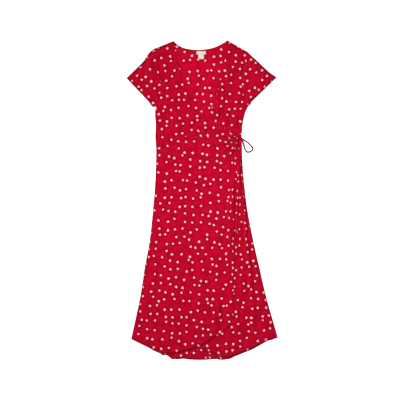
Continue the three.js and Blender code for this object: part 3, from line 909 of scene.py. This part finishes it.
backBodice = {
    "node": "back_bodice",
    "grid": (92, 100),
    "top": ["shoulderR", "neckR", "neckL", "shoulderL"],
    "bottom": ["waistR", "waistL"],
    "left": ["shoulderR", "underarmR", "waistR"],
    "right": ["shoulderL", "underarmL", "waistL"],
    "borders": [("backNeck", ["neckR", "neckL"]), ("seam", ["waistR", "waistL"])],
    "level": flatLevel(level["back"] - backSunk),
    "restsFlat": True,
    "folds": [
        (-70, 600, -30, 430, 14, 0.8, 14.1, 0.3, 0.5, 0),
        (30, 610, 20, 450, -10, 0.7, 12.3, 0.3, 0.5, 0),
        (-10, 560, 5, 470, 5, -0.5, 10.6, 0.3, 0.5, 0),
    ],
    "ripples": (0.12, 22, 90),
    "seed": 3,
    "squeeze": 2,
    "grain": 4,
    "shift": (140, 35),
    "shaded": (0.2, 17),
    "material": insideCloth,
    "flat": (0.44, 0.43),
    "area": 0.148,
    "restsOn": [],
}
backSkirt = {
    "node": "back_skirt",
    "grid": (110, 160),
    "top": ["waistR", "waistL"],
    "bottom": ["hemR", "hemL"],
    "left": ["waistR", "hemR"],
    "right": ["waistL", "hemL"],
    "borders": [("hem", ["hemR", "hemL"]), ("seam", ["waistR", "waistL"])],
    "level": flatLevel(level["back"] - backSunk),
    "restsFlat": True,
    "folds": [],
    "ripples": (0.1, 26, 90),
    "seed": 4,
    "squeeze": 2,
    "grain": -3,
    "shift": (420, 90),
    "material": outsideCloth,
    "flat": (0.66, 0.98),
    "area": 0.47,
    "restsOn": [],
}
leftFrontBodice = {
    "node": "left_front_bodice",
    "grid": (116, 140),
    "top": ["neckL", "shoulderL"],
    "bottom": ["underWaist", "waistL"],
    "left": ["neckL", "underWaist"],
    "right": ["shoulderL", "underarmL", "waistL"],
    "borders": [
        ("neck", ["neckL", "underWaist"]),
        ("open", ["neckL", "shoulderL"]),
        ("seam", ["shoulderL", "underarmL"]),
        ("side", ["underarmL", "waistL"]),
        ("seam", ["underWaist", "waistL"]),
    ],
    "level": flatLevel(level["under"]),
    "swell": underSwell,
    "folds": [
        (84, 545, 98, 405, -3, 3.7, 6.2, 0.35, 0.35, 0.3),
        (74, 452, 66, 326, 3, 4.8, 6.6, 0.35, 0.3, -0.3),
        (116, 424, 108, 306, 2, 3.1, 6.2, 0.4, 0.3, 0.3),
        (150, 392, 146, 300, -2, 3.3, 6.2, 0.4, 0.3, 0.2),
        (128, 610, 114, 430, 6, 2.6, 11.4, 0.4, 0.5, 0),
        (164, 560, 150, 330, -6, 2.3, 12.3, 0.4, 0.4, 0),
        (180, 626, 172, 500, 4, 2.8, 6.2, 0.2, 0.6, 0.2),
        (186, 396, 128, 366, 4, 2.2, 7, 0.15, 0.7, 0),
        (100, 640, 150, 560, 5, 1.2, 10.6, 0.4, 0.5, 0),
        (92, 500, 84, 430, 0, -1.2, 5.3, 0.4, 0.4, 0),
    ],
    "ripples": (0.26, 18, 75),
    "seed": 5,
    "squeeze": 2.6,
    "grain": 9,
    "shift": (-210, 260),
    "material": outsideCloth,
    "flat": (0.38, 0.44),
    "area": 0.056,
    "restsOn": ["back_bodice_cloth"],
}
leftFrontSkirt = {
    "node": "left_front_skirt",
    "grid": (126, 246),
    "top": ["underWaist", "waistL"],
    "bottom": ["underCorner", "hemL"],
    "left": ["underWaist", "underCorner"],
    "right": ["waistL", "hemL"],
    "borders": [
        ("hem", ["underCorner", "hemL"]),
        ("neck", ["underWaist", "underCorner"]),
        ("side", ["waistL", "hemL"]),
        ("seam", ["underWaist", "waistL"]),
    ],
    "level": flatLevel(level["under"]),
    "swell": underSwell,
    "folds": [
        (186, -20, 192, -320, -4, 4.6, 6.2, 0.3, 0.4, 0.3),
        (196, -120, 236, -560, 6, 4.3, 9.7, 0.3, 0.45, 0.2),
        (172, -250, 184, -640, 5, 3.1, 10.6, 0.3, 0.4, -0.2),
        (214, -200, 262, -520, -6, 2.2, 8.8, 0.3, 0.5, 0.2),
        (246, -420, 262, -560, 3, 2.9, 7, 0.35, 0.4, 0.2),
        (258, -400, 292, -590, 3, 2.3, 10.6, 0.3, 0.4, 0),
        (210, -420, 226, -630, -3, 2.3, 10.6, 0.35, 0.2, 0),
        (150, -420, 156, -660, 2, 2.5, 9.7, 0.3, 0.2, 0),
        (302, -520, 308, -610, 2, 1.6, 7.9, 0.3, 0.2, 0),
        (186, 120, 184, -60, 3, 3.2, 5.3, 0.3, 0.4, 0.3),
    ],
    "bunched": -0.9,
    "shaded": (0.24, 28),
    "ripples": (0.3, 20, 80),
    "seed": 6,
    "squeeze": 2.6,
    "grain": -6,
    "shift": (640, -120),
    "material": outsideCloth,
    "flat": (0.50, 0.97),
    "area": 0.375,
    "restsOn": ["back_skirt_cloth"],
}
rightFrontBodice = {
    "node": "right_front_bodice",
    "grid": (150, 160),
    "top": ["shoulderR", "neckR"],
    "bottom": ["waistR", "waistL"],
    "left": ["shoulderR", "underarmR", "waistR"],
    "right": ["neckR", "waistL"],
    "borders": [
        ("neck", ["neckR", "waistL"]),
        ("open", ["shoulderR", "neckR"]),
        ("seam", ["shoulderR", "underarmR"]),
        ("side", ["underarmR", "waistR"]),
        ("seam", ["waistR", "waistL"]),
    ],
    "level": overLevel,
    "folds": [
        (-192, 292, -120, 294, -2, 0.7, 12, 0.3, 0.4, 0),
        (20, 292, 130, 294, -2, 0.8, 12, 0.3, 0.4, 0),
        (-196, 640, -180, 520, 4, 2, 6.2, 0.25, 0.5, 0.3),
        (-176, 640, -152, 520, 4, 2.4, 9.6, 0.3, 0.5, 0),
        (-150, 480, -96, 330, 6, 2.3, 15.8, 0.4, 0.4, 0),
        (-186, 400, -120, 372, -5, 2, 7.9, 0.1, 0.7, 0),
        (-110, 560, -120, 430, 4, 1.6, 13.2, 0.4, 0.5, 0),
        (-60, 420, -20, 310, 5, 1.9, 10.6, 0.4, 0.4, 0.2),
        (0, 352, 40, 296, 3, 2.2, 7.9, 0.4, 0.3, 0.2),
        (-168, 330, -166, 296, 0, 1.9, 5.3, 0.5, 0.15, 0.2),
        (-139, 322, -141, 296, 0, 1.4, 4.4, 0.5, 0.15, 0),
        (-98, 334, -100, 296, 0, 2, 5.3, 0.5, 0.15, 0.2),
        (-62, 318, -61, 296, 0, 1.2, 4.4, 0.5, 0.15, 0),
        (-20, 330, -24, 296, 0, 1.9, 6.2, 0.5, 0.15, -0.2),
        (22, 316, 20, 292, 0, -2.5, 4.4, 0.4, 0.1, 0),
        (52, 318, 50, 296, 0, 1.6, 5.3, 0.5, 0.15, 0),
        (-40, 470, -100, 520, 4, 1.1, 12.3, 0.4, 0.4, 0),
    ],
    "gathers": gathers,
    "drawn": {"middle": 150, "share": 0.8},
    "ripples": (0.28, 18, 75),
    "seed": 7,
    "squeeze": 2.6,
    "grain": -11,
    "shift": (30, 510),
    "material": outsideCloth,
    "flat": (0.42, 0.45),
    "area": 0.065,
    "restsOn": ["left_front_bodice_cloth", "back_bodice_cloth"],
}
rightFrontSkirt = {
    "node": "right_front_skirt",
    "grid": (160, 300),
    "top": ["waistR", "waistL"],
    "bottom": ["hemR", "overCorner"],
    "left": ["waistR", "hemR"],
    "right": ["waistL", "overCorner"],
    "borders": [
        ("hem", ["hemR", "overCorner"]),
        ("wrap", ["waistL", "overCorner"]),
        ("side", ["waistR", "hemR"]),
        ("seam", ["waistR", "waistL"]),
    ],
    "level": overLevel,
    "folds": [
        (150, 170, 116, -440, 10, 5.6, 9.4, 0.3, 0.5, 0.25),
        (134, 120, 128, -330, -5, 3.8, 6.6, 0.3, 0.5, 0.25),
        (96, 90, 60, -560, 12, 3.6, 15.8, 0.4, 0.5, 0.1),
        (112, 60, 104, -260, -8, 3.2, 7.2, 0.4, 0.5, 0.3),
        (30, -60, -12, -600, 10, 2.6, 21.1, 0.4, 0.3, 0),
        (-120, 180, -170, -560, -14, 2.3, 26.4, 0.4, 0.4, 0),
        (-70, 60, -110, -620, 10, 2.2, 21.1, 0.4, 0.3, 0),
        (-196, 40, -206, -360, 6, 1.7, 12.3, 0.4, 0.4, 0),
        (-202, -262, -206, -392, 3, 2.6, 7, 0.4, 0.4, 0.2),
        (-228, -330, -262, -590, 4, 2.2, 14.1, 0.3, 0.3, 0),
        (72, -430, 94, -560, 6, 3.4, 7, 0.4, 0.3, 0.3),
        (40, -480, 66, -590, -4, 2.3, 7.9, 0.4, 0.2, 0),
        (-10, -520, 24, -612, 5, 2.6, 8.8, 0.4, 0.2, 0),
        (-150, -560, -144, -672, 4, 2.5, 9.7, 0.4, 0.1, 0.2),
        (-196, -590, -190, -655, 3, 1.9, 7.9, 0.4, 0.1, 0),
        (-96, -600, -100, -668, 2, 1.7, 7.9, 0.4, 0.1, 0),
        (-176, 262, -172, 196, 0, 2, 6.2, 0.12, 0.7, 0.2),
        (-148, 264, -150, 214, 0, 1.6, 5.3, 0.12, 0.7, 0),
        (-112, 264, -108, 180, 0, 2.2, 7, 0.12, 0.7, 0),
        (-74, 264, -78, 220, 0, 1.4, 5.3, 0.12, 0.7, 0.2),
        (-38, 264, -30, 170, 0, 2, 7.9, 0.12, 0.7, 0),
        (2, 264, 0, 204, 0, 1.7, 6.2, 0.12, 0.7, 0.2),
        (20, 268, 22, 240, 0, -2.2, 4.4, 0.1, 0.6, 0),
        (44, 262, 36, 150, 0, 1.9, 8.8, 0.12, 0.7, 0),
        (120, -20, 84, 60, 4, 1.4, 10.6, 0.4, 0.5, 0),
        (-40, -120, -74, -240, 6, 1.1, 15.8, 0.4, 0.5, 0),
    ],
    "gathers": gathers,
    "drawn": {"middle": 220, "share": 0.9},
    "bunched": 0.9,
    "ripples": (0.3, 20, 80),
    "seed": 8,
    "squeeze": 2.6,
    "grain": 7,
    "shift": (-480, -300),
    "material": outsideCloth,
    "flat": (0.50, 0.97),
    "area": 0.375,
    "restsOn": ["left_front_skirt_cloth", "back_skirt_cloth"],
}

for panelForm in (backBodice, backSkirt, leftFrontBodice, leftFrontSkirt, rightFrontBodice, rightFrontSkirt):
    makePanel(panelForm)


# Sleeves: flattened tubes, open at the cuff
sleeve = {
    "along": 46, "across": 52, "rim": 7, "flat": (0.36, 0.17), "area": 0.047,
    "puff": 1.5, "puffFrom": 0.12, "puffShare": 0.76, "ease": 0.12, "ripples": (0.24, 16, 60),
    "cuffStitch": 13, "cuffRaise": 0.3, "cuffDent": 0.3, "dentWide": 1.6, "step": 3, "seamDrop": 0.6,
    "stitchRise": 0.35,
    "shades": {"fold": (0.8, 9), "under": (0.9, 6), "cuff": (0.75, 9), "armhole": (0.1, 4)},
}
sleeveSides = {
    "R": {
        "node": "right_sleeve",
        "seed": 11,
        "grain": 38,
        "shift": (90, -620),
        "folds": [
            (-222, 628, -214, 520, 4, 2.9, 5.3, 0.2, 0.6, 0.2),
            (-238, 612, -250, 500, -5, 2.3, 7, 0.2, 0.6, 0),
            (-206, 560, -222, 452, 4, 1.9, 6.2, 0.2, 0.5, 0),
            (-258, 590, -292, 512, -4, 1.4, 7.9, 0.3, 0.4, 0),
            (-212, 430, -250, 480, 3, 1.7, 6.2, 0.1, 0.7, 0),
        ],
    },
    "L": {
        "node": "left_sleeve",
        "seed": 12,
        "grain": -41,
        "shift": (380, -700),
        "folds": [
            (214, 628, 204, 512, -4, 2.6, 6.2, 0.2, 0.6, 0.2),
            (240, 602, 232, 486, 4, 1.9, 7, 0.2, 0.6, 0),
            (262, 580, 282, 512, 3, 1.4, 7.9, 0.3, 0.4, 0),
            (212, 430, 248, 476, -3, 1.6, 6.2, 0.1, 0.7, 0),
        ],
    },
}


def makeSleeve(side, form):
    loop = outlineOf(form["node"], upright["sleeve"])
    names = {"fold": ["shoulder", "cuffTop"], "under": ["underarm", "cuffLow"],
             "armhole": ["shoulder", "underarm"], "cuff": ["cuffTop", "cuffLow"]}
    stations, across = sleeve["along"], sleeve["across"]
    counts = {"fold": stations, "under": stations, "armhole": across, "cuff": across}
    line = {k: edgeLine(runsOf(loop, [n + side for n in v]), counts[k]) for k, v in names.items()}
    # rows run from the armhole to the cuff, and each goes from the upper fold to the underarm seam
    plan = between(line["armhole"], line["cuff"], line["fold"], line["under"])
    height = level["under"] + layer["wall"]
    u = np.linspace(0, 1, stations)[:, None]
    v = np.linspace(0, 1, across)[None]

    def shapeOf(points):
        total = foldHeight(points, form["folds"]) + ripples(points, form["seed"], *sleeve["ripples"])
        cuffAway, _, _ = nearestOn(points, line["cuff"])
        row = sleeve["cuffStitch"]
        dent = sleeve["cuffDent"] * np.exp(-((cuffAway - row) / sleeve["dentWide"]) ** 2)
        hem = sleeve["cuffRaise"] * (1 - smoothStep(cuffAway, row, row + sleeve["step"]))
        seam, _, _ = nearestOn(points, line["armhole"])
        return total + hem - dent - sleeve["seamDrop"] * (1 - smoothStep(seam, 0, sleeve["step"])) ** 2

    ease = smoothStep(v, 0, sleeve["ease"]) * (1 - smoothStep(v, 1 - sleeve["ease"], 1))
    bulge = np.sin(math.pi * (sleeve["puffFrom"] + sleeve["puffShare"] * u))
    puff = sleeve["puff"] * np.sin(math.pi * v) * bulge
    flat = plan.reshape(-1, 2)
    upper = height + puff + ease * shapeOf(flat).reshape(stations, across)
    thin = layer["cloth"]

    def ringAt(inset):
        # lower layer, round the underarm seam, back along the upper layer, round the upper fold
        radius = height / 2 - inset
        angles = np.linspace(0, math.pi, sleeve["rim"] + 2)[1:-1]
        rings = []
        for j in range(stations):
            row = plan[j]
            low = np.column_stack([row, np.full(across, inset)])
            high = np.column_stack([row, upper[j] - inset])

            def arc(end, before):
                away = (end - before) / np.linalg.norm(end - before)
                spread = np.sin(angles)[:, None] * radius
                return np.column_stack([end + away * spread, height / 2 - radius * np.cos(angles)])

            rings.append(np.vstack([low, arc(row[-1], row[-2]), high[::-1], arc(row[0], row[1])[::-1]]))
        return np.array(rings)

    outer, inner = ringAt(0), ringAt(thin)
    around = outer.shape[1]
    spots = onCloth(outer[..., 0], outer[..., 1], form).reshape(-1, 2)
    at = np.arange(stations * around).reshape(stations, around)
    after = np.roll(at, -1, axis=1)
    wall = np.stack([at[:-1], at[1:], after[1:], after[:-1]], axis=-1).reshape(-1, 4)
    inside = wall[:, ::-1] + at.size
    start = np.stack([at[0], after[0], after[0] + at.size, at[0] + at.size], axis=-1)
    end = np.stack([after[-1], at[-1], at[-1] + at.size, after[-1] + at.size], axis=-1)
    faces = np.vstack([wall, inside, start, end])
    if side == "R":
        faces = faces[:, ::-1]
    points = np.vstack([outer.reshape(-1, 3), inner.reshape(-1, 3)])
    # Painted shade along the sleeve's upper fold, underarm seam, cuff and armhole, where the cloth rolls
    # away from the light.
    ends = [(line[edge], *shade) for edge, shade in sleeve["shades"].items()]
    depth = paintedShade(outer.reshape(-1, 3)[:, :2], ends)
    name = form["node"] + "_cloth"
    piece = makePiece(name, points, faces.tolist(), np.vstack([spots, spots]), outsideCloth,
                      np.concatenate([depth, depth]))
    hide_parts(form["node"])
    path = stitchPath(line["cuff"], sleeve["cuffStitch"], flat.mean(0))
    rise = height + sleeve["stitchRise"]
    sewn = makeStitches(name + "_stitches", [path[2:-2]], lambda p: rise + shapeOf(p))
    print(name, "made")


for sleeveSide, sleeveForm in sleeveSides.items():
    makeSleeve(sleeveSide, sleeveForm)


# Neck label and size tab, both blank
tape = {"across": 30, "down": 14, "thick": 0.5, "turnedRaise": 0.3, "turnedStep": 0.5}
tapes = [
    {"node": "neck_label", "bow": 0.35, "turned": 3.5},
    {"node": "size_tab", "bow": 0.5, "turned": 0},
]


def makeTape(form):
    low, high = (np.array(c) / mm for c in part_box(form["node"]))
    across, down, thick = tape["across"], tape["down"], tape["thick"]
    x = np.linspace(low[0], high[0], across)
    y = np.linspace(high[1], low[1], down)
    grid = np.stack(np.meshgrid(x, y), axis=-1).reshape(-1, 2)
    share = (grid - low[:2]) / (high[:2] - low[:2])
    top = low[2] + thick + form["bow"] * np.sin(math.pi * share[:, 1]) * np.sin(math.pi * share[:, 0])
    ends = np.minimum(grid[:, 0] - low[0], high[0] - grid[:, 0])
    if form["turned"]:
        inner, outer = form["turned"] - tape["turnedStep"], form["turned"] + tape["turnedStep"]
        top = top + tape["turnedRaise"] * (1 - smoothStep(ends, inner, outer))
    points = np.vstack([np.column_stack([grid, top]), np.column_stack([grid, top - thick])])
    size = len(grid)
    rim = rimOf(down, across)
    faces = [gridFaces(down, across, 0, False), gridFaces(down, across, size, True)]
    faces = np.vstack([*faces, bandFaces(rim, rim + size)])
    spots = np.vstack([grid, grid])
    piece = makePiece(form["node"] + "_tape", points, faces.tolist(), spots, creamTape)
    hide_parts(form["node"])


for tapeForm in tapes:
    makeTape(tapeForm)
print("label and tab made")


# Floor and light
studio = {
    "floor": (0.95, 0.95, 0.95, 1),
    "floorSize": 60,
    "floorBelow": 0.3,
    "glow": 0.45,
    "sky": 0.28,
    "key": {"strength": 3.9, "turn": 45, "height": 41, "spread": 12},
    "box": {"watts": 4.8, "x": 110, "y": 40, "height": 950, "size": 500},
}


def makeFloor():
    half = studio["floorSize"] / 2
    mesh = bpy.data.meshes.new("floor")
    corners = [(-half, -half, 0), (half, -half, 0), (half, half, 0), (-half, half, 0)]
    mesh.from_pydata(corners, [], [(0, 1, 2, 3)])
    finish = Finish("paleFloor")
    mesh.materials.append(finish.surface({
        "Base Color": studio["floor"],
        "Roughness": 0.9,
        "Specular IOR Level": 0.1,
        "Emission Color": (1, 1, 1, 1),
        "Emission Strength": studio["glow"],
    }))
    floor = linked("floor", mesh)
    floor.location.z = -studio["floorBelow"] * mm


def makeSun(name, form):
    data = bpy.data.lights.new(name, "SUN")
    data.energy = form["strength"]
    data.angle = math.radians(form["spread"])
    light = linked(name, data)
    light.rotation_euler = (math.radians(90 - form["height"]), 0, math.radians(form["turn"] - 180))


def makeBox(form):
    # a soft light straight above, so the middle of the dress is a little brighter than its ends
    data = bpy.data.lights.new("softBox", "AREA")
    data.energy = form["watts"]
    data.size = form["size"] * mm
    linked("softBox", data).location = (form["x"] * mm, form["y"] * mm, form["height"] * mm)


def makeSky():
    world = bpy.data.worlds.new("studioSky")
    world.use_nodes = True
    world.node_tree.nodes["Background"].inputs["Color"].default_value = (1, 1, 1, 1)
    world.node_tree.nodes["Background"].inputs["Strength"].default_value = studio["sky"]
    scene.world = world


makeFloor()
makeSun("keyLight", studio["key"])
makeBox(studio["box"])
makeSky()
scene.view_settings.view_transform = "Standard"
print("floor and light made")
